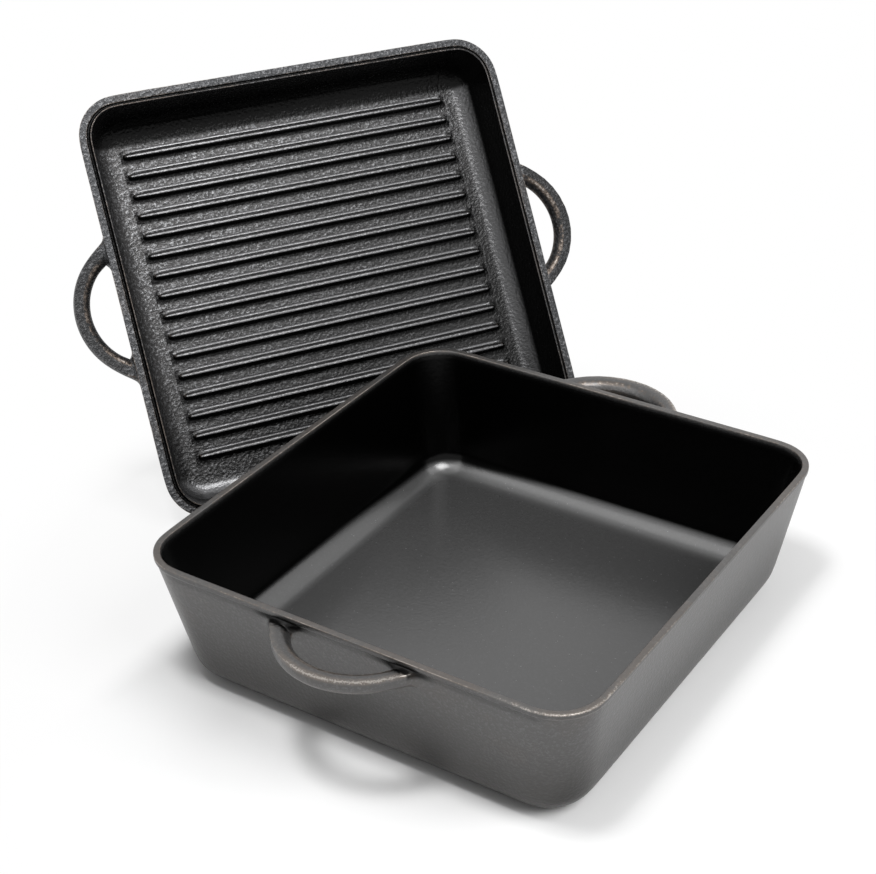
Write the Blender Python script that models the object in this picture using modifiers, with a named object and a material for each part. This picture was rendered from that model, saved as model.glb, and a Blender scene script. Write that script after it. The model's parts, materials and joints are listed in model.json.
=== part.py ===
"""Cast-iron combo cooker: a deep pan, and a ribbed grill pan that turns over to be its lid.

Metres, +Z up. The origin is the middle of the deep pan's base, on the floor, and +X runs from
handle to handle. The lid stands on the floor behind the pan's corner and leans back.
"""

import math

import bmesh
import bpy
from mathutils import Vector

# The rim, which both castings share so that one closes the other
RIM_LENGTH = 0.260  # outside, along the line between the handles
RIM_WIDTH = 0.247
RIM_CORNER = 0.025
RIM_EASE = 0.0007  # rounding of the rim's two edges
CORNER_STEPS = 7
CREASE = math.radians(30)  # an edge that turns by less than this is part of a smooth surface
FILLET_SHARE = 0.85  # the most of an upright corner's radius that a floor fillet takes
RIB_END_SHARE = 0.495  # of a rib's width: just under half, so that the two roundings of its end don't meet

# Deep pan
PAN_HEIGHT = 0.074
PAN_WALL = 0.0034
PAN_FLOOR = 0.005
PAN_DRAFT = 0.013  # how far each wall leans in between rim and base
PAN_HEEL = 0.015  # rounding between wall and base, outside
PAN_FILLET = 0.016  # rounding between wall and floor, inside
BEAD_HEIGHT = 0.004  # the rim's outer edge is a low bead
BEAD_PROUD = 0.0006

# Grill lid, modelled open side up and then stood on edge
LID_HEIGHT = 0.0325
LID_FLOOR = 0.0042
LID_DRAFT = 0.009
LID_INNER_DRAFT = 0.005
LID_HEEL = 0.015
LID_FILLET = 0.010
LID_SHIFT = 0.0028  # its ribs and handles sit this far off the middle, towards the side that stands up

# The raised lip that drops inside the deep pan's rim and keeps the lid from sliding
LIP_CLEARANCE = 0.0006
LIP_WIDTH = 0.0024
LIP_HEIGHT = 0.0016

# Grill ribs
RIB_COUNT = 16
RIB_PITCH = 0.0120
RIB_LENGTH = 0.2005
RIB_WIDTH = 0.0048
RIB_HEIGHT = 0.0028
RIB_CROWN = 0.0014  # rounding of a rib's top edges
RIB_ROOT = 0.001  # how deep a rib is rooted in the floor

# Loop handles, cast on at both ends of both pieces
HANDLE_ARC = 0.038  # radius of the loop, to the middle of its bar
HANDLE_REACH = 0.0252  # from the rim's outer face to the outside of the bar
HANDLE_DROP = 0.008  # from the rim's plane to the middle of the bar
HANDLE_BAR = 0.0092  # thickness of the bar
HANDLE_ROOT = 1.6  # how many times wider the bar is where it meets the wall
HANDLE_STEPS = 12
ROOT_STUB = 0.0035  # straight length of bar outside the wall

# Where the lid stands
LID_LEAN = math.radians(34.2)  # back from upright
LID_TURN = math.radians(-33.0)  # about the upright axis
LID_STANDOFF = 0.0006  # least gap between its face and the deep pan
LID_SIDESTEP = 0.0048  # along its own foot


def new_collection(name):
    collection = bpy.data.collections.new(name)
    bpy.context.scene.collection.children.link(collection)
    return collection


def iron(name, colour, roughness):
    """Seasoned cast iron: a dark skin of baked oil over bare metal."""
    material = bpy.data.materials.new(name)
    material.use_nodes = True
    shader = material.node_tree.nodes["Principled BSDF"]
    shader.inputs["Base Color"].default_value = (*colour, 1.0)
    shader.inputs["Roughness"].default_value = roughness
    shader.inputs["Metallic"].default_value = 0.4
    return material


def creases_at(mesh, height):
    """The sharp edges that lie in the level plane at this height."""
    level = [e for e in mesh.edges if all(abs(v.co.z - height) < 1e-6 for v in e.verts)]
    return [e for e in level if e.calc_face_angle(0.0) > CREASE]


def round_edges(mesh, edges, radius, steps):
    bmesh.ops.bevel(
        mesh, geom=edges, offset=radius, offset_type="OFFSET", segments=steps, profile=0.5, affect="EDGES"
    )


def top_face(mesh):
    return max(mesh.faces, key=lambda face: (face.normal.z > 0.9) * (1 + face.calc_center_median().z))


def rounded_block(length, width, height, draft):
    """A block on z = 0 with rounded upright corners, its walls leaning in by draft towards the base."""
    mesh = bmesh.new()
    bmesh.ops.create_cube(mesh, size=1.0)
    for vert in mesh.verts:
        inset = draft if vert.co.z < 0 else 0.0
        vert.co.x = math.copysign(length / 2 - inset, vert.co.x)
        vert.co.y = math.copysign(width / 2 - inset, vert.co.y)
        vert.co.z = height if vert.co.z > 0 else 0.0
    upright = [e for e in mesh.edges if abs(e.verts[0].co.z - e.verts[1].co.z) > height / 2]
    round_edges(mesh, upright, RIM_CORNER, CORNER_STEPS)
    return mesh


def inset_face(mesh, face, width):
    """Insets one face by an even width and returns the face left inside."""
    bmesh.ops.inset_region(mesh, faces=[face], thickness=width, use_even_offset=True)
    return face


def push_face(mesh, face, rise, draft):
    """Extrudes one face by rise along Z, drawing it in by draft on every side, and returns the new face."""
    grown = bmesh.ops.extrude_discrete_faces(mesh, faces=[face])["faces"][0]
    half_length = max(v.co.x for v in grown.verts)
    half_width = max(v.co.y for v in grown.verts)
    for vert in grown.verts:
        vert.co.x *= 1 - draft / half_length
        vert.co.y *= 1 - draft / half_width
        vert.co.z += rise
    return grown


def fillet_within(radius, corner):
    """A floor fillet can't be wider than the upright corner that it runs round."""
    return min(radius, FILLET_SHARE * corner)


def mesh_object(name, mesh, collection):
    bmesh.ops.recalc_face_normals(mesh, faces=mesh.faces)
    data = bpy.data.meshes.new(name)
    mesh.to_mesh(data)
    mesh.free()
    obj = bpy.data.objects.new(name, data)
    collection.objects.link(obj)
    return obj


def pan_shell(collection):
    """The deep pan without its handles. The bead stands out all round the top of its walls."""
    length = RIM_LENGTH - 2 * BEAD_PROUD
    width = RIM_WIDTH - 2 * BEAD_PROUD
    mesh = rounded_block(length, width, PAN_HEIGHT - BEAD_HEIGHT, PAN_DRAFT - BEAD_PROUD)
    bead = push_face(mesh, top_face(mesh), BEAD_PROUD, -BEAD_PROUD)
    rim = push_face(mesh, bead, BEAD_HEIGHT - BEAD_PROUD, 0.0)
    mouth = inset_face(mesh, rim, PAN_WALL)
    push_face(mesh, mouth, PAN_FLOOR - PAN_HEIGHT, PAN_DRAFT)
    corner_inside = RIM_CORNER - PAN_WALL
    round_edges(mesh, creases_at(mesh, PAN_HEIGHT), RIM_EASE, 2)
    round_edges(mesh, creases_at(mesh, PAN_FLOOR), fillet_within(PAN_FILLET, corner_inside), 6)
    round_edges(mesh, creases_at(mesh, 0.0), fillet_within(PAN_HEEL, RIM_CORNER), 5)
    return mesh_object("deep_pan", mesh, collection)


def lid_shell(collection):
    """The lid without ribs or handles, open side up, its rim's plane at z = LID_HEIGHT."""
    band = PAN_WALL + LIP_CLEARANCE
    lip_top = LID_HEIGHT + LIP_HEIGHT
    mesh = rounded_block(RIM_LENGTH, RIM_WIDTH, LID_HEIGHT, LID_DRAFT)
    lip = push_face(mesh, inset_face(mesh, top_face(mesh), band), LIP_HEIGHT, 0.0)
    mouth = inset_face(mesh, lip, LIP_WIDTH)
    push_face(mesh, mouth, LID_FLOOR - lip_top, LID_INNER_DRAFT)
    corner_inside = RIM_CORNER - band - LIP_WIDTH
    round_edges(mesh, creases_at(mesh, lip_top), RIM_EASE, 1)
    round_edges(mesh, creases_at(mesh, LID_FLOOR), fillet_within(LID_FILLET, corner_inside), 3)
    round_edges(mesh, creases_at(mesh, 0.0), fillet_within(LID_HEEL, RIM_CORNER), 4)
    return mesh_object("grill_lid", mesh, collection)


class Loop:
    """One loop handle in plan: an arc, with a short stub at each end that turns square to the wall.

    wall_face is where the wall's outer face lies at the handle's height. A stub stops in the middle
    of the wall's thickness.
    """

    def __init__(self, wall_face, wall):
        self.centre = RIM_LENGTH / 2 + HANDLE_REACH - HANDLE_BAR / 2 - HANDLE_ARC
        self.stub_start = wall_face + ROOT_STUB
        self.half_angle = math.acos((self.stub_start - self.centre) / HANDLE_ARC)
        self.root = wall_face - wall / 2

    def swell(self, x, y):
        """How many times wider than at its middle the bar is beside this point."""
        if x <= self.stub_start:
            return HANDLE_ROOT
        share = min(abs(math.atan2(y, x - self.centre)) / self.half_angle, 1.0)
        return 1 + (HANDLE_ROOT - 1) * share**8

    def path(self):
        """Points along the middle of the bar, from root to root."""
        turns = [self.half_angle * (2 * step / HANDLE_STEPS - 1) for step in range(HANDLE_STEPS + 1)]
        arc = [(self.centre + HANDLE_ARC * math.cos(a), HANDLE_ARC * math.sin(a)) for a in turns]
        return [(self.root, arc[0][1]), *arc, (self.root, arc[-1][1])]


def handle_pair(name, wall_face, wall, height, shift, helpers):
    """Both loop handles of one casting as a mesh, ready to be joined to its walls."""
    loop = Loop(wall_face, wall)
    curve = bpy.data.curves.new(name, "CURVE")
    curve.dimensions = "3D"
    curve.bevel_depth = HANDLE_BAR / 2
    curve.bevel_resolution = 3
    curve.use_fill_caps = True
    path = loop.path()
    spline = curve.splines.new("POLY")
    spline.points.add(len(path) - 1)
    for point, (x, y) in zip(spline.points, path):
        point.co = (x, y, height, 1.0)
        point.radius = loop.swell(x, y)
    bar = bpy.data.objects.new(name + "_curve", curve)
    helpers.objects.link(bar)
    bpy.context.view_layer.update()
    data = bpy.data.meshes.new_from_object(bar.evaluated_get(bpy.context.evaluated_depsgraph_get()))
    bpy.data.objects.remove(bar)
    welded = bmesh.new()
    welded.from_mesh(data)
    bmesh.ops.remove_doubles(welded, verts=welded.verts, dist=1e-6)
    for vert in welded.verts:
        # The bar widens towards its roots without growing thicker.
        vert.co.z = height + (vert.co.z - height) / loop.swell(vert.co.x, vert.co.y)
    bmesh.ops.recalc_face_normals(welded, faces=welded.faces)
    welded.to_mesh(data)
    welded.free()
    pair = bpy.data.objects.new(name, data)
    pair.location.y = shift
    helpers.objects.link(pair)
    mirror = pair.modifiers.new("other end", "MIRROR")
    mirror.use_mirror_merge = False
    return pair


def ribs(helpers):
    """The row of grill ribs, each with round ends and a rounded crown, rooted in the lid's floor."""
    mesh = bmesh.new()
    bmesh.ops.create_cube(mesh, size=1.0)
    bmesh.ops.scale(mesh, vec=(RIB_LENGTH, RIB_WIDTH, RIB_HEIGHT + RIB_ROOT), verts=mesh.verts)
    upright = [e for e in mesh.edges if abs(e.verts[0].co.z - e.verts[1].co.z) > RIB_HEIGHT / 2]
    round_edges(mesh, upright, RIB_WIDTH * RIB_END_SHARE, 2)
    round_edges(mesh, creases_at(mesh, (RIB_HEIGHT + RIB_ROOT) / 2), RIB_CROWN, 1)
    row = RIB_PITCH * (RIB_COUNT - 1)
    first = Vector((0.0, LID_SHIFT - row / 2, LID_FLOOR + (RIB_HEIGHT - RIB_ROOT) / 2))
    bmesh.ops.translate(mesh, vec=first, verts=mesh.verts)
    rib = mesh_object("ribs", mesh, helpers)
    repeat = rib.modifiers.new("row", "ARRAY")
    repeat.count = RIB_COUNT
    repeat.use_relative_offset = False
    repeat.use_constant_offset = True
    repeat.constant_offset_displace = (0.0, RIB_PITCH, 0.0)
    return rib


def join(body, helper):
    """Casts a helper shape into the body."""
    union = body.modifiers.new(helper.name, "BOOLEAN")
    union.operation = "UNION"
    union.object = helper
    union.solver = "EXACT"
    helper.hide_render = True
    helper.display_type = "WIRE"


def bake(obj):
    """Replaces an object's mesh by what its modifiers make of it, shaded smooth with crisp edges kept."""
    bpy.context.view_layer.update()
    made = bpy.data.meshes.new_from_object(obj.evaluated_get(bpy.context.evaluated_depsgraph_get()))
    obj.modifiers.clear()
    obj.data = made
    made.shade_smooth()
    made.set_sharp_from_angle(angle=CREASE)


def deep_pan(parts, helpers):
    pan = pan_shell(parts)
    level = PAN_HEIGHT - HANDLE_DROP
    face = RIM_LENGTH / 2 - BEAD_PROUD - PAN_DRAFT * HANDLE_DROP / PAN_HEIGHT
    join(pan, handle_pair("pan_handles", face, PAN_WALL, level, 0.0, helpers))
    bake(pan)
    pan.data.materials.append(iron("pan iron", (0.030, 0.029, 0.028), 0.48))
    return pan


def grill_lid(parts, helpers):
    lid = lid_shell(parts)
    level = LID_HEIGHT - HANDLE_DROP
    face = RIM_LENGTH / 2 - LID_DRAFT * HANDLE_DROP / LID_HEIGHT
    wall = PAN_WALL + LIP_CLEARANCE + LIP_WIDTH
    join(lid, handle_pair("lid_handles", face, wall, level, LID_SHIFT, helpers))
    join(lid, ribs(helpers))
    bake(lid)
    lid.data.materials.append(iron("lid iron", (0.028, 0.028, 0.028), 0.42))
    return lid


def points_of(mesh, level):
    """A mesh's own points, and the points where its edges cross a level plane."""
    points = [vert.co.copy() for vert in mesh.vertices]
    for edge in mesh.edges:
        low, high = sorted((mesh.vertices[i].co for i in edge.vertices), key=lambda co: co.z)
        if low.z < level < high.z:
            points.append(low.lerp(high, (level - low.z) / (high.z - low.z)))
    return points


def stand_lid(lid, pan):
    """Stands the lid on its long edge behind the pan's corner, leaning back, with its face to the pan.

    The lid's origin becomes the middle of its rim's plane. It hangs from an empty whose Z axis runs up
    the lid's own slope, the way that it is drawn off past the pan's corner.
    """
    for vert in lid.data.vertices:
        vert.co.z -= LID_HEIGHT
    lift = bpy.data.objects.new("lid_lift", None)
    lift.empty_display_size = RIM_CORNER
    lift.rotation_euler = (-LID_LEAN, 0.0, LID_TURN)
    lid.rotation_euler = (math.radians(90), 0.0, 0.0)
    turned = lift.rotation_euler.to_matrix() @ lid.rotation_euler.to_matrix()
    lowest = min((turned @ vert.co).z for vert in lid.data.vertices)
    back = Vector((-math.sin(LID_TURN), math.cos(LID_TURN), 0.0))
    along = Vector((math.cos(LID_TURN), math.sin(LID_TURN), 0.0))
    rim_foot = -lowest - RIM_WIDTH / 2 * math.cos(LID_LEAN)
    slope = math.tan(LID_LEAN)
    reach = max(back.dot(p) - slope * (max(p.z, rim_foot) + lowest) for p in points_of(pan.data, rim_foot))
    distance = reach + LID_STANDOFF + LIP_HEIGHT / math.cos(LID_LEAN)
    lift.location = along * LID_SIDESTEP + back * distance - Vector((0.0, 0.0, lowest))
    lid.users_collection[0].objects.link(lift)
    lid.parent = lift


for old in list(bpy.data.objects):
    bpy.data.objects.remove(old)
cooker = new_collection("combo_cooker")
shapes = new_collection("joined_shapes")
stand_lid(grill_lid(cooker, shapes), deep_pan(cooker, shapes))
bpy.context.view_layer.update()
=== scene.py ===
# Cast-iron combo cooker, dressed for its picture. Metres, +Z up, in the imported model's frame.
import json
import math

import bmesh
import bpy
from mathutils import Matrix, Vector


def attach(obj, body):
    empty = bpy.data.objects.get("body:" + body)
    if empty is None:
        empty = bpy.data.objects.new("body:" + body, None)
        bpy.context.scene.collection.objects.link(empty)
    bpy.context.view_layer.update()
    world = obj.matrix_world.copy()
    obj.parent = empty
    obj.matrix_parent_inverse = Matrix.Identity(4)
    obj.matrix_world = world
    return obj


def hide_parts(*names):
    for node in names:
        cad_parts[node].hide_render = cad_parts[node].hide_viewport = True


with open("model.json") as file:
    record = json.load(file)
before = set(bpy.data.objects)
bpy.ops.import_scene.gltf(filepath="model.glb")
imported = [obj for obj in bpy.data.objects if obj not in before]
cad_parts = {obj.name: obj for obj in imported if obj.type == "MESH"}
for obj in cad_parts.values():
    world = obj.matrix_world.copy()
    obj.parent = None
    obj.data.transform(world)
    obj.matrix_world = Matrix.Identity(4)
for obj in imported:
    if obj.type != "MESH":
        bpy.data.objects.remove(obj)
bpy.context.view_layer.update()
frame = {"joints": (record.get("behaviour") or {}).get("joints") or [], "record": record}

bpy.context.scene.view_settings.view_transform = "Standard"


# The camera looks down at the pan's near corner, with one handle to its left.
# Its place was fitted to the corners of both castings in the photograph.
CAMERA_PLACE = (-0.651626, -0.405623, 0.568452)
CAMERA_TURN = (59.3027, 1.3122, -56.9728)  # degrees
CAMERA_LENS = 74.933  # mm
CAMERA_SENSOR = 36.0  # mm wide
CAMERA_NEAREST = 0.01  # metres: nothing nearer than this is drawn

camera_data = bpy.data.cameras.new("camera")
camera_data.sensor_width = CAMERA_SENSOR
camera_data.lens = CAMERA_LENS
camera_data.clip_start = CAMERA_NEAREST
camera = bpy.data.objects.new("camera", camera_data)
camera.location = CAMERA_PLACE
camera.rotation_euler = [math.radians(angle) for angle in CAMERA_TURN]
bpy.context.scene.collection.objects.link(camera)
bpy.context.scene.camera = camera


# The white table that both castings stand on, the white room round it, and the lamps: two light them
# and draw the soft shadows, and two wide ones are only seen in the iron's gloss. The camera and the
# gloss see the room as plain white.
TABLE_SIZE = 6.0
TABLE_WHITE = 0.95
TABLE_ENDS = (0.15, 0.30)  # metres from the middle, between which the table turns plain white in view
TABLE_SIDES = (0.118, 0.146)  # the same to each side of the pan's middle line, where shadows are faint
TABLE_SIDE_SHARE = 0.8  # how far it turns white there
PLAIN_WHITE = (1, 1, 1, 1)
ROOM_LIGHT = 0.27  # how bright the room is as a lamp
LAMP_AIM = (0.0, 0.05, 0.05)
LAMPS = {  # where each stands, its size, its power, and whether it is seen in the gloss or lights the matt
    "shadow_lamp": ((-0.36, 0.08, 1.45), 0.30, 8.8, False),
    "side_lamp": ((-0.10, -1.05, 1.15), 0.90, 17.0, False),
    "back_lamp": ((-0.61, 0.40, 1.42), 1.1, 4.4, True),
    "front_lamp": ((-0.10, -0.50, 1.45), 0.7, 14.0, True),
}


class Value:
    """A socket of a material's nodes. Arithmetic on it adds Math nodes."""

    def __init__(self, finish, socket):
        self.finish = finish
        self.socket = socket

    def math(self, operation, first, second):
        return self.finish.node("Math", {"operation": operation}, {0: first, 1: second})

    def __add__(self, other):
        return self.math("ADD", self, other)

    def __mul__(self, other):
        return self.math("MULTIPLY", self, other)

    def __sub__(self, other):
        return self.math("SUBTRACT", self, other)

    def __rsub__(self, other):
        return self.math("SUBTRACT", other, self)

    __radd__ = __add__
    __rmul__ = __mul__


class Finish:
    """The nodes of one surface, made one by one and joined up by what feeds what."""

    mix_colours = (6, 7)  # the sockets of a Mix node for its two colours, and for what comes out
    mix_result = 2

    def __init__(self, tree):
        self.tree = tree
        self.tree.nodes.clear()

    def node(self, kind, settings=None, inputs=None, output=0):
        """Adds a node of this kind, sets it up, feeds its sockets, and returns one of its outputs."""
        made = self.tree.nodes.new("ShaderNode" + kind)
        for name, value in (settings or {}).items():
            setattr(made, name, value)
        for name, value in (inputs or {}).items():
            if isinstance(value, Value):
                self.tree.links.new(value.socket, made.inputs[name])
            else:
                made.inputs[name].default_value = value
        return Value(self, made.outputs[output]) if made.outputs else None

    def rise(self, value, low, high):
        """0 where the value is under low, 1 where it is over high, and smooth between."""
        limits = {"Value": value, "From Min": low, "From Max": high}
        return self.node("MapRange", {"interpolation_type": "SMOOTHSTEP"}, limits)

    def blend(self, share, first, second):
        """One colour turning into another by a share from 0 to 1."""
        inputs = {0: share}
        for socket, colour in zip(self.mix_colours, (first, second)):
            inputs[socket] = (*colour, 1.0) if isinstance(colour, tuple) else colour
        return self.node("Mix", {"data_type": "RGBA"}, inputs, self.mix_result)

    def either(self, first, second):
        return first.math("MAXIMUM", first, second)

    def in_view(self):
        """1 for what is seen straight, in a gloss or through glass, and 0 for light on its way."""
        straight = self.node("LightPath", output="Is Camera Ray")
        mirrored = self.node("LightPath", output="Is Glossy Ray")
        through = self.node("LightPath", output="Is Transmission Ray")
        return self.either(straight, self.either(mirrored, through))


def new_finish(name):
    material = bpy.data.materials.new(name)
    material.use_nodes = True
    return material, Finish(material.node_tree)


room = bpy.data.worlds.new("room")
room.use_nodes = True
bpy.context.scene.world = room
air = Finish(room.node_tree)
strength = ROOM_LIGHT + (1 - ROOM_LIGHT) * air.in_view()
white_air = air.node("Background", inputs={"Color": PLAIN_WHITE, "Strength": strength})
air.node("OutputWorld", inputs={"Surface": white_air})

for lamp_name, (place, size, power, in_gloss) in LAMPS.items():
    lamp_data = bpy.data.lights.new(lamp_name, "AREA")
    lamp_data.size = size
    lamp_data.energy = power
    lamp = bpy.data.objects.new(lamp_name, lamp_data)
    lamp.location = place
    lamp.rotation_euler = (Vector(place) - Vector(LAMP_AIM)).to_track_quat("Z", "Y").to_euler()
    lamp.visible_camera = False
    lamp.visible_glossy = in_gloss
    lamp.visible_diffuse = not in_gloss
    bpy.context.scene.collection.objects.link(lamp)

bpy.ops.object.select_all(action="DESELECT")
bpy.ops.mesh.primitive_plane_add(size=TABLE_SIZE)
table = bpy.context.object
table.name = "table"
table_white, paper = new_finish("table_white")
lit = paper.node("BsdfDiffuse", inputs={"Color": (TABLE_WHITE, TABLE_WHITE, TABLE_WHITE, 1)})
glow = paper.node("Emission", inputs={"Color": PLAIN_WHITE, "Strength": 1.0})
where = paper.node("TexCoord", output="Object")
from_middle = paper.node("VectorMath", {"operation": "LENGTH"}, {0: where}, "Value")
to_side = paper.node("SeparateXYZ", inputs={0: where}, output="Y")
at_side = TABLE_SIDE_SHARE * paper.rise(paper.either(to_side, 0 - to_side), *TABLE_SIDES)
whitened = paper.either(paper.rise(from_middle, *TABLE_ENDS), at_side) * paper.in_view()
table_top = paper.node("MixShader", inputs={0: whitened, 1: lit, 2: glow})
paper.node("OutputMaterial", inputs={"Surface": table_top})
table.data.materials.append(table_white)


# Deep pan: one casting in grey iron, walls leaning out, with a low bead round the rim and a loop
# handle cast on at each end. A quarter is drawn out ring by ring from the rim's outline, then mirrored.
MM = 0.001
RIM_LENGTH = 0.260
RIM_WIDTH = 0.247
RIM_CORNER = 0.025
CORNER_STEPS = 6
LONG_COLUMNS = (0.020, 0.040, 0.060, 0.080)  # along X, from the middle
PAN_HEIGHT = 0.074
PAN_WALL = 0.0034
PAN_FLOOR = 0.005
PAN_DRAFT = 0.013  # how far each wall leans in from the rim to the base
PAN_HEEL = 0.015  # where the wall starts to turn into the base, outside, and into the floor, inside
PAN_FILLET = 0.0120
RIM_EDGE = 0.7 * MM  # how wide the rounding of each edge of the rim is
BEAD_PROUD = 0.0006
BEAD_STEPS = ((RIM_EDGE, 0.0), (1.9 * MM, 0.0), (0.5 * MM, BEAD_PROUD))  # down the bead, and in
OUTER_RINGS = (0.046, 0.030)  # levels between the handles and the heel that hold the walls straight
INNER_RINGS = (0.060, 0.040)
BASE_RING = 4 * MM  # the ring round the flat base that keeps it flat, and the one round the pan's floor
PAN_FLOOR_RING = 1.6 * MM
HEEL_STEPS = 5
PAN_FILLET_STEPS = 6
HANDLE_ARC = 0.038  # the radius of a handle's middle line
HANDLE_REACH = 0.0252  # how far it stands out from the rim, and how far its middle is under it
HANDLE_DROP = 0.008
HANDLE_ROOT = (0.0250, 0.0340, 0.0425)  # the columns of the wall that a handle grows out of
HANDLE_HALF = 0.0044  # half of a handle's thickness at its root
SIDE_COLUMNS = (0.013, *HANDLE_ROOT, 0.053, 0.066, 0.082)  # along Y
TINY = 1e-6  # metres: points nearer than this are in one place


def choose(piece, kind, test):
    """Selects just the faces, edges or points of the piece in edit mode that pass the test."""
    bpy.ops.mesh.select_mode(type=kind)
    bpy.ops.mesh.select_all(action="DESELECT")
    mesh = bmesh.from_edit_mesh(piece.data)
    for part in {"FACE": mesh.faces, "EDGE": mesh.edges, "VERT": mesh.verts}[kind]:
        if test(part):
            part.select_set(True)
    mesh.select_flush_mode()
    bmesh.update_edit_mesh(piece.data)


def middle(part):
    return sum((point.co for point in part.verts), Vector()) / len(part.verts)


class Quarter:
    """A quarter of one casting, drawn out from the outline of its rim, with its sides open for Mirror."""

    def __init__(self, name, rim_level):
        bpy.ops.object.select_all(action="DESELECT")
        bpy.ops.mesh.primitive_plane_add(size=1.0)
        self.piece = bpy.context.object
        self.piece.name = name
        self.rim_level = rim_level
        bpy.ops.object.mode_set(mode="EDIT")
        bpy.ops.transform.resize(value=(RIM_LENGTH / 2, RIM_WIDTH / 2, 1.0))
        bpy.ops.transform.translate(value=(RIM_LENGTH / 4, RIM_WIDTH / 4, rim_level))
        choose(self.piece, "VERT", lambda point: point.co.x > TINY and point.co.y > TINY)
        bpy.ops.mesh.bevel(offset=RIM_CORNER, segments=CORNER_STEPS, profile=0.5, affect="VERTICES")
        self.cut((1, 0, 0), (*LONG_COLUMNS, RIM_LENGTH / 2 - RIM_CORNER))
        self.cut((0, 1, 0), (*SIDE_COLUMNS, RIM_WIDTH / 2 - RIM_CORNER))
        self.start_from_rim()

    def cut(self, along, places):
        """Cuts the outline's plate across at each of these places."""
        for place in places:
            bpy.ops.mesh.select_all(action="SELECT")
            bpy.ops.mesh.bisect(plane_co=[place * share for share in along], plane_no=along)

    def start_from_rim(self):
        """Chooses the plate that closes the rim, to draw the outside or the inside out of it."""
        self.level = self.rim_level
        self.corner = [RIM_LENGTH / 2 - RIM_CORNER, RIM_WIDTH / 2 - RIM_CORNER]
        self.choose_plate()

    def choose_plate(self):
        choose(self.piece, "FACE", lambda face: all(
            abs(point.co.z - self.level) < TINY for point in face.verts
        ))

    def mesh(self):
        return bmesh.from_edit_mesh(self.piece.data)

    def open_sides(self):
        """Takes away the faces that lie in the two planes of the mirror."""
        mesh = self.mesh()
        flat = [
            face for face in mesh.faces
            if any(all(abs(point.co[axis]) < TINY for point in face.verts) for axis in (0, 1))
        ]
        bmesh.ops.delete(mesh, geom=flat, context="FACES")
        bmesh.update_edit_mesh(self.piece.data)

    def carry(self, drop, draw):
        """Extrudes the plate down by drop, and draws its outline in on both sides by draw."""
        bpy.ops.mesh.extrude_region_move(TRANSFORM_OT_translate={"value": (0.0, 0.0, -drop)})
        self.level -= drop
        plate = {p for f in self.mesh().faces if f.select for p in f.verts}
        for axis in (0, 1):
            for point in plate:
                if point.co[axis] > self.corner[axis] - TINY:
                    point.co[axis] -= draw
            self.corner[axis] -= draw
        bmesh.update_edit_mesh(self.piece.data)
        self.open_sides()
        self.choose_plate()

    def inset(self, width, drop=0.0):
        """Insets the plate by an even width, and lowers what is inside by drop."""
        up = next(f for f in self.mesh().faces if f.select).normal.z > 0
        bpy.ops.mesh.inset(
            use_boundary=False, use_even_offset=True, thickness=width, depth=-drop if up else drop
        )
        self.level -= drop

    def turn(self, reach, lean, steps):
        """Carries on round an arc, from a wall that leans by this angle to a level floor or base.

        The arc starts and ends this far from where the wall and the floor would meet.
        """
        quarter = math.pi / 2 - lean
        radius = reach * math.tan((math.pi / 2 + lean) / 2)
        for step in range(steps):
            start, end = (lean + quarter * (step + more) / steps for more in (0, 1))
            inwards = radius * (math.cos(start) - math.cos(end))
            self.inset(inwards, radius * (math.sin(end) - math.sin(start)))


def walls(quarter, levels, slope):
    """Carries the plate down from level to level, along a wall of this slope."""
    for level in levels:
        drop = quarter.level - level
        quarter.carry(drop, drop * slope)


pan = Quarter("deep_pan_iron", PAN_HEIGHT)
for drop, draw in BEAD_STEPS:
    pan.carry(drop, draw)
outer_slope = (PAN_DRAFT - BEAD_PROUD) / PAN_HEIGHT
outer_lean = math.atan(outer_slope)
handle_level = PAN_HEIGHT - HANDLE_DROP
root_levels = (handle_level + HANDLE_HALF, handle_level, handle_level - HANDLE_HALF)
walls(pan, (*root_levels, *OUTER_RINGS, PAN_HEEL * math.cos(outer_lean)), outer_slope)
pan.turn(PAN_HEEL, outer_lean, HEEL_STEPS)
pan.inset(BASE_RING)

pan.start_from_rim()
for width in (RIM_EDGE, PAN_WALL - 2 * RIM_EDGE, RIM_EDGE):
    pan.inset(width)
inner_slope = PAN_DRAFT / (PAN_HEIGHT - PAN_FLOOR)
inner_lean = math.atan(inner_slope)
fillet_top = PAN_FLOOR + PAN_FILLET * math.cos(inner_lean)
walls(pan, (PAN_HEIGHT - RIM_EDGE, *INNER_RINGS, fillet_top), inner_slope)
pan.turn(PAN_FILLET, inner_lean, PAN_FILLET_STEPS)
pan.inset(PAN_FLOOR_RING)

# Section of a handle's bar, in mm from its middle: how far out from the loop's centre, and how far up.
# Its top is flat, and the mould's parting line leaves a ridge along its outer edge.
BAR_SECTION = {
    (-1, -1): (-4.6, -4.0), (0, -1): (-0.4, -5.0), (1, -1): (3.4, -4.1),
    (-1, 0): (-5.7, -0.4), (0, 0): (0.0, 0.0), (1, 0): (4.9, -0.2),
    (-1, 1): (-1.9, 3.8), (0, 1): (1.2, 3.7), (1, 1): (4.2, 3.9),
}
SECTION_CREASES = {(-1, 1): 0.35, (1, 1): 0.55}
BAR_RADIUS = 0.0046
HANDLE_STEPS = 6
STUB = 0.0035  # how far a handle stands straight out of its wall
ROOT_SWELL = 1.25  # how much thicker a handle is at its root, and where it starts to curve
NECK_SWELL = 1.1
handle_centre = RIM_LENGTH / 2 + HANDLE_REACH - BAR_RADIUS - HANDLE_ARC


def sign_of(value):
    return (value > MM) - (value < -MM)


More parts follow.
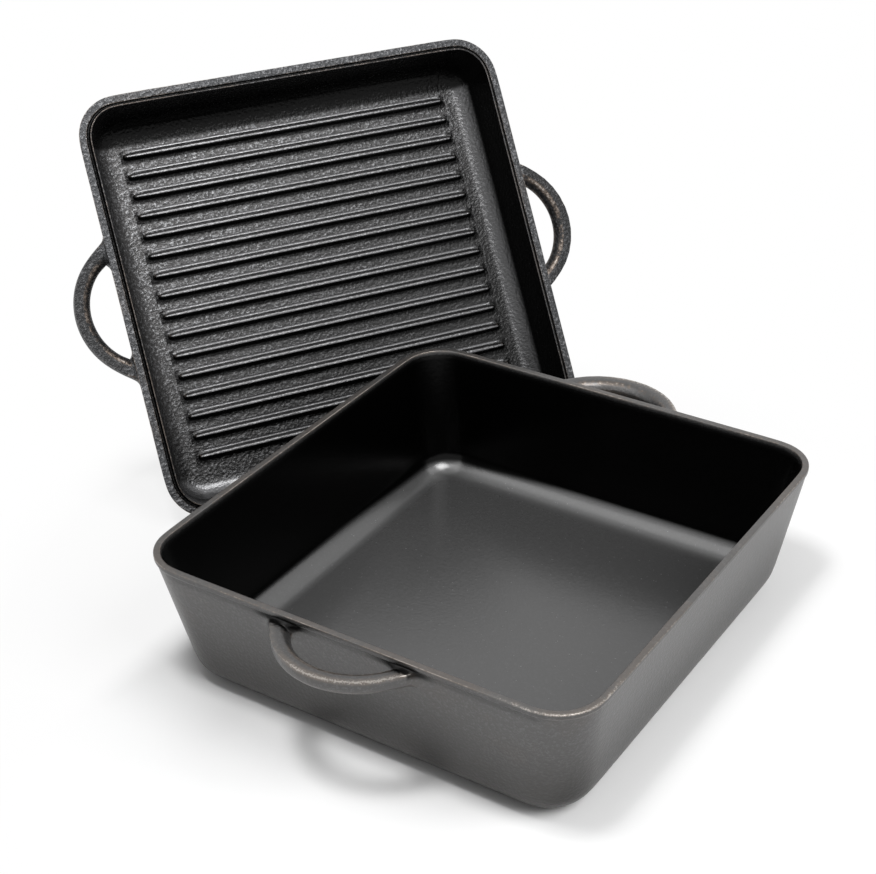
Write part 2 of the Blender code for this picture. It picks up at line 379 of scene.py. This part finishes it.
def loop_handle(quarter, level):
    """Grows half of a loop handle out of its root on the wall, round to the plane of the mirror."""
    low, along, high = HANDLE_ROOT
    choose(quarter.piece, "FACE", lambda face: (
        middle(face).x > RIM_LENGTH / 2 - PAN_WALL
        and low < middle(face).y < high
        and abs(middle(face).z - level) < HANDLE_HALF
    ))
    wall = max(point.co.x for face in quarter.mesh().faces if face.select for point in face.verts)
    start = math.acos((wall + STUB - handle_centre) / HANDLE_ARC)
    origin, out = Vector((wall, along, level)), Vector((0.0, 1.0, 0.0))
    stops = [(Vector((wall + STUB / 2, along, level)), out, ROOT_SWELL)]
    for step in range(HANDLE_STEPS + 1):
        angle = start * (1 - step / HANDLE_STEPS)
        ray = Vector((math.cos(angle), math.sin(angle), 0.0))
        bar_middle = Vector((handle_centre, 0.0, level)) + HANDLE_ARC * ray
        stops.append((bar_middle, ray, NECK_SWELL if step == 0 else 1.0))
    edges = {key: [] for key in SECTION_CREASES}
    for new_origin, new_out, swell in stops:
        bpy.ops.mesh.extrude_region_move(TRANSFORM_OT_translate={"value": (0.0, 0.0, 0.0)})
        for point in {point for face in quarter.mesh().faces if face.select for point in face.verts}:
            key = sign_of((point.co - origin).dot(out)), sign_of(point.co.z - level)
            across, rise = BAR_SECTION[key]
            point.co = new_origin + new_out * across * swell * MM + Vector((0.0, 0.0, rise * MM))
            if key in edges:
                edges[key].append(point.co.copy())
        bmesh.update_edit_mesh(quarter.piece.data)
        origin, out = new_origin, new_out
    quarter.open_sides()
    for key, spots in edges.items():
        choose(quarter.piece, "EDGE", lambda edge: all(
            any((point.co - spot).length < TINY for spot in spots) for point in edge.verts
        ))
        bpy.ops.transform.edge_crease(value=SECTION_CREASES[key])


def mirror_over(quarter):
    """Leaves edit mode and makes the whole casting out of its quarter."""
    bpy.ops.object.mode_set(mode="OBJECT")
    mirror = quarter.piece.modifiers.new("other sides", "MIRROR")
    mirror.use_axis = (True, True, False)
    mirror.merge_threshold = 10 * TINY
    bpy.ops.object.modifier_apply(modifier=mirror.name)
    bpy.ops.object.mode_set(mode="EDIT")
    bpy.ops.mesh.select_all(action="SELECT")
    bpy.ops.mesh.normals_make_consistent(inside=False)
    bpy.ops.object.mode_set(mode="OBJECT")
    return quarter.piece


def smooth_surface(piece):
    """Rounds the cage to its final surface."""
    rounding = piece.modifiers.new("rounding", "SUBSURF")
    rounding.levels = rounding.render_levels = 2
    bpy.ops.object.modifier_apply(modifier=rounding.name)
    piece.data.shade_smooth()


loop_handle(pan, handle_level)
pan_piece = mirror_over(pan)
smooth_surface(pan_piece)


def paint(piece, name, rule):
    """Keeps a number for each point of the piece, worked out from its place and the way that it faces."""
    layer = piece.data.attributes.new(name, "FLOAT", "POINT")
    layer.data.foreach_set("value", [rule(point.co, point.normal) for point in piece.data.vertices])


def rounded(value, low, high):
    """0 under low, 1 over high, and smooth between."""
    share = min(max((value - low) / (high - low), 0.0), 1.0)
    return share * share * (3 - 2 * share)


def band(value, start, full, fade, end):
    """1 from full to fade, 0 before start and after end, and smooth between."""
    return rounded(value, start, full) * rounded(value, end, fade)


def wear_of(piece):
    """How steeply the surface falls away from each point: rims and ridges, where iron is rubbed."""
    mesh = bmesh.new()
    mesh.from_mesh(piece.data)
    turns = []
    for point in mesh.verts:
        ways = [(edge.other_vert(point).co - point.co).normalized() for edge in point.link_edges]
        turns.append(max(-point.normal.dot(way) for way in ways))
    mesh.free()
    layer = piece.data.attributes.new("worn", "FLOAT", "POINT")
    layer.data.foreach_set("value", turns)


PAINTED_SHADE_IRON = (0.009, 0.009, 0.009)  # painted shade: black on the inner walls, in the creases and groove, and below the ribs
BROWN_IRON = (0.150, 0.112, 0.085)  # where the black is rubbed thin
BARE_IRON = (0.420, 0.390, 0.360)
POLISH_AND_HIGHLIGHT_IRON = (0.190, 0.190, 0.195)  # painted highlights on the ribs' upper roots and the lid's lower and right fillets, and on the crowns, where food and spatulas slide, partly polish
GRAIN_AND_GLINT_IRON = (0.230, 0.232, 0.240)  # light specks on the tips of the sand-cast grain, partly painted glints
PAN_OUTSIDE = {"colour": (0.106, 0.104, 0.103), "roughness": 0.34, "grain": 0.13, "specks": 0.24}
PAN_INSIDE = {"colour": (0.120, 0.120, 0.120), "roughness": 0.25, "grain": 0.03, "specks": 0.10}
# painted shade that darkens the pan's outside towards its base
PAN_PAINTED_DARK = (0.040, 0.038, 0.036)
SKIN_NOISES = (  # the scale, detail and roughness of its sand, its grit and its clouds
    (1100.0, 2.0, 0.6), (560.0, 2.0, 0.5), (35.0, 4.0, 0.6),
)
BROWN_TURN = (0.06, 0.16)  # how steeply an edge falls away where it starts being, and is, rubbed brown
BARE_TURN = (0.12, 0.26)
BROWN_PATCHES = (0.62, 0.82)  # which of the patches of noise are brown there, and which are bare
BARE_PATCHES = (0.74, 0.90)
BARE_GRAINS = (1.30, 1.62)  # which grains stand out bare where hands rub
STAIN_CLOUDS = (0.50, 0.80)  # which clouds stain the outside brown, and which grains are specks
SPECK_GRAINS = (0.49, 0.63)
STAIN_SHARE = 0.15  # how far each of these colours goes at most
BROWN_SHARE = 0.6
RUBBED_SHARE = 0.20


def iron_skin(name, outside, inside, dark):
    """Seasoned cast iron: black oil baked on a sand-cast skin, rubbed brown and bare along its edges.

    Sand and grit are its fine and coarse grain, its light specks partly painted glints, and clouds are where
    oil or wear gathers. What is inside or worn or rubbed, and its painted shade, painted highlights (partly
    polish on the ribs' crowns) and painted darkening, come from the numbers painted on the piece.
    """
    material, skin = new_finish(name)
    where = skin.node("TexCoord", output="Object")
    sand, grit, clouds = (
        skin.node("TexNoise", inputs={"Vector": where, "Scale": scale, "Detail": detail, "Roughness": rough})
        for scale, detail, rough in SKIN_NOISES
    )
    within, painted_shade, turned, polish_and_highlight, rubbed, painted_darkening = (
        skin.node("Attribute", {"attribute_name": layer}, output="Fac")
        for layer in ("inside", "painted_shade", "worn", "polish_and_highlight", "rubbed", "painted_darkening")
    )

    def by_side(key):
        return outside[key] + (inside[key] - outside[key]) * within

    patches = clouds + 0.5 * grit
    brown = skin.either(skin.rise(turned, *BROWN_TURN), rubbed) * skin.rise(patches, *BROWN_PATCHES)
    bare = skin.rise(turned, *BARE_TURN) * skin.rise(patches, *BARE_PATCHES)
    bare = skin.either(bare, skin.rise(rubbed + 1.2 * sand, *BARE_GRAINS))
    bare = skin.either(bare, RUBBED_SHARE * rubbed)
    stained = STAIN_SHARE * skin.rise(clouds, *STAIN_CLOUDS) * (1 - within)
    # Light specks on the grain, partly painted glints.
    specks = skin.rise(0.5 * grit + 0.5 * sand, *SPECK_GRAINS) * by_side("specks")
    colour = skin.blend(within, outside["colour"], inside["colour"])
    # Of the colours laid over here, the darkening and the black are painted shade, and the light ones on the
    # ribs are painted highlights.
    for share, over in (
        (stained, BROWN_IRON), (specks, GRAIN_AND_GLINT_IRON), (painted_darkening, dark), (BROWN_SHARE * brown, BROWN_IRON),
        (bare, BARE_IRON), (polish_and_highlight, POLISH_AND_HIGHLIGHT_IRON), (painted_shade, PAINTED_SHADE_IRON),
    ):
        colour = skin.blend(share, colour, over)
    height = (0.4 * sand + 1.4 * grit) * by_side("grain") * (1 - 0.7 * polish_and_highlight)
    shader = skin.node("BsdfPrincipled", inputs={
        "Base Color": colour,
        "Metallic": 0.8 - 0.15 * within + 0.3 * painted_shade,
        "Roughness": by_side("roughness") + 0.10 * (grit - 0.5) - 0.05 * polish_and_highlight - 0.05 * painted_shade,
        "Normal": skin.node("Bump", inputs={"Strength": 1.0, "Distance": MM, "Height": height}),
    })
    skin.node("OutputMaterial", inputs={"Surface": shader})
    return material


# Where the pan gets its black painted shade, where it is rubbed, and its painted shade towards the base.
RIM_FADE = (0.5 * MM, 3.5 * MM)  # how far under the rim's top the inside starts, and has its full look
IN_WALL = 3 * MM  # a place less far out than this from the rim is on the wall, and past it on a handle
CREASE_LEVELS = (0.0665, 0.0690, 0.0712, 0.0722)  # painted shade along the crease under the rim, between these levels
CREASE_ROOTS = (0.010, 0.026, 0.044, 0.052)  # and is darkest at the handles' roots, this far to each side
CREASE_SHARES = (0.25, 0.65)  # how dark it is all along, and how much darker at the roots
WALL_FACING = (0.62, 0.38)  # how far up the floor's fillet faces where the painted shade starts, and is full
CORNER_BLACK = 0.17  # how much further down it the painted shade comes near the far corner
CORNER_REACH = (0.120, 0.040)  # from that corner, where this starts and is full
RIDGE_PLACE = (3.6 * MM, 3.7 * MM)  # a handle's ridge, out and up from the middle of its bar
RIDGE_WIDTH = (2.2 * MM, 0.4 * MM)
RIDGE_WEAR = 0.55
RIDGE_MORE = 0.45  # how much more it is worn towards -Y, which starts and is full at these places
RIDGE_MOST = (0.022, 0.008)
RIM_WEAR = 0.35
CORNER_WEAR = 0.52  # how much more the rim's outer edge is worn at its front corner
CORNER_ROUND = (0.062, 0.022)  # from that corner, where this starts and is full
EDGE_WIDTH = (2.4 * MM, 0.8 * MM)  # the same in from the edge
BASE_DARKENING = 0.85
BASE_DARKENING_LEVELS = (0.066, 0.004)  # down the outside, where the painted shade starts and is full


def wall_line(level, length_or_width):
    """Half of the pan's outer length or width at this level."""
    return length_or_width / 2 - PAN_DRAFT * (PAN_HEIGHT - level) / PAN_HEIGHT


def beyond(place, length, width, corner):
    """How far a place lies outside a rounded outline; less than 0 is inside it."""
    across = abs(place.x) - (length - corner)
    along = abs(place.y) - (width - corner)
    return math.hypot(max(across, 0.0), max(along, 0.0)) + min(max(across, along), 0.0) - corner


def from_edge(place):
    """How far inside the rim's outer edge a place lies."""
    return -beyond(place, RIM_LENGTH / 2, RIM_WIDTH / 2, RIM_CORNER)


def pan_inside(place, facing):
    """1 on the floor and the inner walls, and less towards the top of the rim."""
    out = beyond(place, wall_line(place.z, RIM_LENGTH), wall_line(place.z, RIM_WIDTH), RIM_CORNER)
    cavity = out < -PAN_WALL / 2 and (facing.z > 0 or place.z > PAN_HEIGHT / 2)
    return rounded(PAN_HEIGHT - place.z, *RIM_FADE) if cavity else 0.0


def pan_painted_shade(place, facing):
    """Painted shade on the inner walls and the top of the floor's fillet, and in the creases where the
    handles' roots meet the rim.
    """
    on_wall = -PAN_WALL / 2 < abs(place.x) - RIM_LENGTH / 2 < IN_WALL
    along, at_roots = CREASE_SHARES
    crease = band(place.z, *CREASE_LEVELS) * on_wall
    crease *= along + at_roots * band(abs(place.y), *CREASE_ROOTS)
    from_corner = math.hypot(RIM_LENGTH / 2 - place.x, RIM_WIDTH / 2 - place.y)
    lower = CORNER_BLACK * rounded(from_corner, *CORNER_REACH)
    return max(pan_inside(place, facing) * rounded(facing.z - lower, *WALL_FACING), crease)


def pan_rubbed(place, facing):
    """Up to 1 along the ridge of each handle, and less on the rim, most on its edge at the front corner."""
    from_centre = math.hypot(abs(place.x) - handle_centre, place.y)
    ridge_out, ridge_up = RIDGE_PLACE
    off_ridge = math.hypot(from_centre - HANDLE_ARC - ridge_out, place.z - handle_level - ridge_up)
    on_loop = abs(place.x) > RIM_LENGTH / 2 + IN_WALL
    ridge = rounded(off_ridge, *RIDGE_WIDTH) * on_loop
    ridge *= RIDGE_WEAR + RIDGE_MORE * rounded(place.y, *RIDGE_MOST)
    from_corner = math.hypot(place.x + RIM_LENGTH / 2, place.y + RIM_WIDTH / 2)
    corner_edge = rounded(from_corner, *CORNER_ROUND) * rounded(from_edge(place), *EDGE_WIDTH)
    return max(ridge, (RIM_WEAR + CORNER_WEAR * corner_edge) * (place.z > PAN_HEIGHT - RIM_EDGE))


def pan_painted_darkening(place, facing):
    """Painted shade darkens the outside towards its base."""
    return BASE_DARKENING * rounded(place.z, *BASE_DARKENING_LEVELS) * (1 - pan_inside(place, facing))


wear_of(pan_piece)
paint(pan_piece, "inside", pan_inside)
# painted shade, black on the inner walls and in the creases
paint(pan_piece, "painted_shade", pan_painted_shade)
paint(pan_piece, "rubbed", pan_rubbed)
# painted shade, darker towards the base
paint(pan_piece, "painted_darkening", pan_painted_darkening)
pan_iron = iron_skin("pan_iron_skin", PAN_OUTSIDE, PAN_INSIDE, PAN_PAINTED_DARK)
pan_piece.data.materials.append(pan_iron)
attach(pan_piece, "pan")
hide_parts("deep_pan")


# Grill lid: one casting, ribbed inside so that it is a grill pan too. Its rim is a coarse sand-cast band
# with a raised lip inside it, which drops into the pan. Made open side up, then stood on its edge.
LID_HEIGHT = 0.0325
LID_FLOOR = 0.0042
LID_DRAFT = 0.009  # how far each wall leans in, outside and inside
LID_INNER_DRAFT = 0.005
LID_HEEL = 0.0180
LID_FILLET = 0.010
LID_FILLET_STEPS = 5
LID_FLOOR_RING = 3 * MM
WALL_RING = 0.8 * MM  # each of its walls has a ring this far under its top, to keep the edge crisp
LID_OUTER_RING = -0.017  # and one at this level, between the handles and the heel
LID_INNER_RING = -0.009
LID_SHIFT = 0.0028  # its ribs and handles sit this far off the middle
SHIFT_REACH = (0.045, 0.095)  # up and down from the middle, where the shift starts to fade and is gone
RIM_STEPS = (  # in mm: how wide each step from the rim's outer edge inwards is, and how far it drops
    (0.5, 0.0), (3.6, 0.0), (0.3, 0.05), (0.25, 0.9), (1.3, 0.1),
    (0.25, -2.2), (0.2, -0.35), (0.4, 0.0), (0.3, 0.3),
)
RIB_COUNT = 16
RIB_PITCH = 0.0120
RIB_HALF_LENGTH = 0.1020
RIB_END = RIB_HALF_LENGTH + MM  # where its root ends
RIB_COLUMNS = (-0.099, -0.05, 0.0, 0.05, 0.099)  # where a rib has a section, besides its ends
RIB_STEPS = (  # in mm, the same from the edge of its root inwards: a rib rises to its rounded crown
    (0.5, 0.0), (0.7, -0.10), (0.4, -0.5), (0.45, -1.1), (0.4, -0.8), (0.5, -0.3),
)
RIB_STRIP = 0.0035  # half of the strip of floor that a rib and its root take
STRIP_CORNER = 0.9 * MM  # how much is cut off each corner of that strip
STRIP_MIDDLE = 0.9 * RIB_STRIP  # a face of the strip has its middle nearer to the rib's line than this
FLOOR_EDGE = 3 * MM  # the floor's edge is left as it is
MOST_CORNERS = 12  # the floor left over between and round the strips has more corners than this
LEVEL = 10 * TINY  # what is nearer to the floor's level than this is on the floor

lid = Quarter("grill_lid_iron", 0.0)
lid_slope = LID_DRAFT / LID_HEIGHT
lid_lean = math.atan(lid_slope)
root_levels = (-HANDLE_DROP + HANDLE_HALF, -HANDLE_DROP, -HANDLE_DROP - HANDLE_HALF)
heel_start = LID_HEEL * math.cos(lid_lean) - LID_HEIGHT
walls(lid, (-WALL_RING, *root_levels, LID_OUTER_RING, heel_start), lid_slope)
lid.turn(LID_HEEL, lid_lean, HEEL_STEPS)
lid.inset(BASE_RING)
lid.start_from_rim()
for width, drop in RIM_STEPS:
    lid.inset(width * MM, drop * MM)
floor_level = LID_FLOOR - LID_HEIGHT
cavity_slope = LID_INNER_DRAFT / (lid.level - floor_level)
cavity_lean = math.atan(cavity_slope)
fillet_start = floor_level + LID_FILLET * math.cos(cavity_lean)
walls(lid, (lid.level - WALL_RING, LID_INNER_RING, fillet_start), cavity_slope)
lid.turn(LID_FILLET, cavity_lean, LID_FILLET_STEPS)
lid.inset(LID_FLOOR_RING)
loop_handle(lid, -HANDLE_DROP)
lid_piece = mirror_over(lid)
for point in lid_piece.data.vertices:
    point.co.y += LID_SHIFT * (1 - rounded(abs(point.co.y), *SHIFT_REACH))


def on_floor(point):
    return abs(point.co.z - floor_level) < LEVEL


bpy.ops.object.mode_set(mode="EDIT")
corners = {
    point for face in bmesh.from_edit_mesh(lid_piece.data).faces
    if all(on_floor(point) for point in face.verts) for point in face.verts
}
inner_x = max(point.co.x for point in corners) - FLOOR_EDGE
inner_y = max(point.co.y for point in corners) - FLOOR_EDGE


def in_floor(face):
    centre = middle(face)
    return abs(centre.z - floor_level) < LEVEL and abs(centre.x) < inner_x and abs(centre.y) < inner_y


choose(lid_piece, "FACE", in_floor)
bpy.ops.mesh.dissolve_faces()
cuts = [((1, 0, 0), column) for column in (-RIB_END, *RIB_COLUMNS, RIB_END)]
rows = [LID_SHIFT + RIB_PITCH * (k - (RIB_COUNT - 1) / 2) for k in range(RIB_COUNT)]
cuts += [((0, 1, 0), row + side * RIB_STRIP) for row in rows for side in (-1, 0, 1)]
for along, place in cuts:
    choose(lid_piece, "FACE", in_floor)
    bpy.ops.mesh.bisect(plane_co=[place * share for share in along], plane_no=along)
for point in bmesh.from_edit_mesh(lid_piece.data).verts:
    at_end = abs(abs(point.co.x) - RIB_END) < LEVEL and on_floor(point)
    row = min(rows, key=lambda row: abs(row - point.co.y))
    if at_end and abs(abs(point.co.y - row) - RIB_STRIP) < LEVEL:
        point.co.x -= math.copysign(STRIP_CORNER, point.co.x)
        point.co.y += math.copysign(STRIP_CORNER, row - point.co.y)
bmesh.update_edit_mesh(lid_piece.data)


def in_strip(face):
    centre = middle(face)
    near_row = min(abs(centre.y - row) for row in rows) < STRIP_MIDDLE
    level = abs(centre.z - floor_level) < LEVEL
    return level and near_row and abs(centre.x) < RIB_END and len(face.verts) < MOST_CORNERS


choose(lid_piece, "FACE", in_strip)
for width, drop in RIB_STEPS:
    bpy.ops.mesh.inset(use_boundary=False, use_even_offset=True, thickness=width * MM, depth=-drop * MM)
bpy.ops.object.mode_set(mode="OBJECT")
smooth_surface(lid_piece)

mounts = {mount["name"]: mount for mount in frame["record"]["mounts"]}
slope = Vector(frame["joints"][0]["axis"]).normalized()
opening = -Vector(mounts["lid_base"]["axis"]).normalized()
foot = slope.cross(opening).normalized()
rim_middle = Vector(mounts["lid_base"]["pos_m"]) + opening * LID_HEIGHT
stand = Matrix((foot, slope, opening)).transposed().to_4x4()
stand.translation = rim_middle


# Where the lid gets its painted shade, its painted highlights (partly polish on the ribs' crowns) and its
# painted darkening, with its open side still up.
LID_OUTSIDE = {"colour": (0.040, 0.041, 0.043), "roughness": 0.42, "grain": 0.40, "specks": 0.50}
LID_INSIDE = {"colour": (0.046, 0.045, 0.045), "roughness": 0.32, "grain": 0.40, "specks": 0.75}
# painted shade that darkens the inside down the lid and to the right, and darker handles
LID_PAINTED_DARK = (0.013, 0.013, 0.013)
INSIDE_FACING = -0.2  # the inside faces up at least this far
INSIDE_START = 4.2 * MM  # from the rim's outer edge to where the inside starts
GROOVE = (4.5 * MM, 6.2 * MM)  # the same for the groove between the flat rim and the raised lip
GROOVE_LEVEL = -0.4 * MM  # the groove is lower than this, and the cavity starts under the next
CAVITY_LEVEL = -1.5 * MM
LID_WALL_FACING = (0.5, 0.3)  # how far up the inner walls face where the painted shade starts on them, and is full
UPPER_FILLET = (0.0975, 0.1005)  # how far up the lid the same happens at its upper wall
FLANK_FACING = (-0.12, -0.35)  # how far the ribs' lower flanks face down the lid where it does
TIP_BLACK = 0.9
TIP_REACH = (1.0 * MM, 3.8 * MM)  # the painted shade round a rib's end: back from the end, and out from its line
AROUND_TIP = 1.3 * MM  # and on past the end
UNDER_RIB = (4.9 * MM, 3.6 * MM)  # below a rib's line, where the painted shadow on the floor ends, and is full
FLOOR_SKIN = 0.2 * MM
LEFT_BLACK = 0.35
LEFT_FACING = (0.05, 0.30)  # how far to the right the left fillet faces where its painted shade starts
CROWN = (2.2 * MM, 2.6 * MM)  # how far over the floor a rib's crown starts
CROWN_SHINE = 0.6
UPPER_ROOT = (2.4 * MM, 3.0 * MM, 3.4 * MM, 4.2 * MM)  # above a rib's line, where the painted highlight on its root lies
SHINE_ENDS = (0.8 * MM, 3 * MM)  # how far before a rib's end the painted highlights on its crown and its root stop
LOWER_SHINE = 0.7
LOWER_FACING = (0.08, 0.30)  # how far up the lid its lower fillet faces where its painted highlight starts
LOWER_START = -0.092  # and it lies lower down the lid than this
RIGHT_SHINE = 0.3
RIGHT_FACING = (0.08, 0.25)  # the same to the left, for the right fillet
LID_DARKENING_SHARE = 0.95
LID_DARKENING_WAY = (-0.6, 0.8)  # the way, across and up the lid, towards which the painted shade fades
LID_DARKENING_REACH = (0.11, -0.10)
HANDLE_DARKENING_SHARE = 0.6
HANDLE_DARKENING_REACH = (1 * MM, 5 * MM)  # out from the rim, where the handles start to darken, and are dark
RIBS_HEIGHT = 4 * MM  # no part of a rib is higher over the floor
ribs_top = floor_level + RIBS_HEIGHT


def lid_inside(place, facing):
    """1 inside the flat rim, from the groove on."""
    return float(facing.z > INSIDE_FACING and from_edge(place) > INSIDE_START)


def below_rib(place):
    """How far a place lies down the lid from the nearest rib above it."""
    return min((row - place.y for row in rows if row > place.y), default=1.0)


def lid_painted_shade(place, facing):
    """Painted shade in the groove, on the inner walls and the fillet of the upper one, a little on the left
    fillet, and all round below the ribs.
    """
    walls_up = rounded(facing.z, *LID_WALL_FACING) * (place.z > ribs_top)
    upper_fillet = rounded(place.y, *UPPER_FILLET) * (place.z < CAVITY_LEVEL)
    lower_flank = rounded(facing.y, *FLANK_FACING) * (place.z < CAVITY_LEVEL)
    along_ribs = abs(place.x) < RIB_HALF_LENGTH + AROUND_TIP and place.z < ribs_top
    off_row = min(abs(place.y - row) for row in rows)
    back, out = TIP_REACH
    tips = abs(place.x) > RIB_HALF_LENGTH - back and off_row < out
    under_ribs = rounded(below_rib(place), *UNDER_RIB) * (place.z < floor_level + FLOOR_SKIN)
    groove = place.z < GROOVE_LEVEL and GROOVE[0] < from_edge(place) < GROOVE[1]
    ribs = along_ribs * max(TIP_BLACK * tips, under_ribs)
    left_fillet = LEFT_BLACK * rounded(facing.x, *LEFT_FACING) * (not along_ribs)
    return lid_inside(place, facing) * max(walls_up, upper_fillet, lower_flank, ribs, groove, left_fillet)


def lid_polish_and_highlight(place, facing):
    """Painted highlight: 1 on the ribs' upper roots, less on their crowns, which are partly polish, and on
    the lower and right fillets.
    """
    crown_end, root_end = (RIB_HALF_LENGTH - end for end in SHINE_ENDS)
    along_ribs = abs(place.x) < crown_end and place.z < ribs_top
    crown = rounded(place.z - floor_level, *CROWN)
    above = min((place.y - row for row in rows if row < place.y), default=1.0)
    root = band(above, *UPPER_ROOT) * (abs(place.x) < root_end)
    lower = LOWER_SHINE * rounded(facing.y, *LOWER_FACING) * (place.y < LOWER_START)
    right = RIGHT_SHINE * rounded(-facing.x, *RIGHT_FACING) * (place.x > RIB_HALF_LENGTH + LID_FLOOR_RING)
    return max(along_ribs * max(CROWN_SHINE * crown, root), max(lower, right) * lid_inside(place, facing))


def lid_painted_darkening(place, facing):
    """Painted shade darkens the inside down the lid and to the right, and the handles are darker."""
    across, up = LID_DARKENING_WAY
    spread = LID_DARKENING_SHARE * rounded(across * place.x + up * place.y, *LID_DARKENING_REACH) * lid_inside(place, facing)
    return max(spread, HANDLE_DARKENING_SHARE * rounded(abs(place.x) - RIM_LENGTH / 2, *HANDLE_DARKENING_REACH))


wear_of(lid_piece)
paint(lid_piece, "inside", lid_inside)
# painted shade
paint(lid_piece, "painted_shade", lid_painted_shade)
# painted highlights, partly polish on the crowns
paint(lid_piece, "polish_and_highlight", lid_polish_and_highlight)
# painted shade down the lid and to the right, and darker handles
paint(lid_piece, "painted_darkening", lid_painted_darkening)
lid_piece.data.transform(stand)
lid_iron = iron_skin("lid_iron_skin", LID_OUTSIDE, LID_INSIDE, LID_PAINTED_DARK)
lid_piece.data.materials.append(lid_iron)
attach(lid_piece, "lid")
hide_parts("grill_lid")
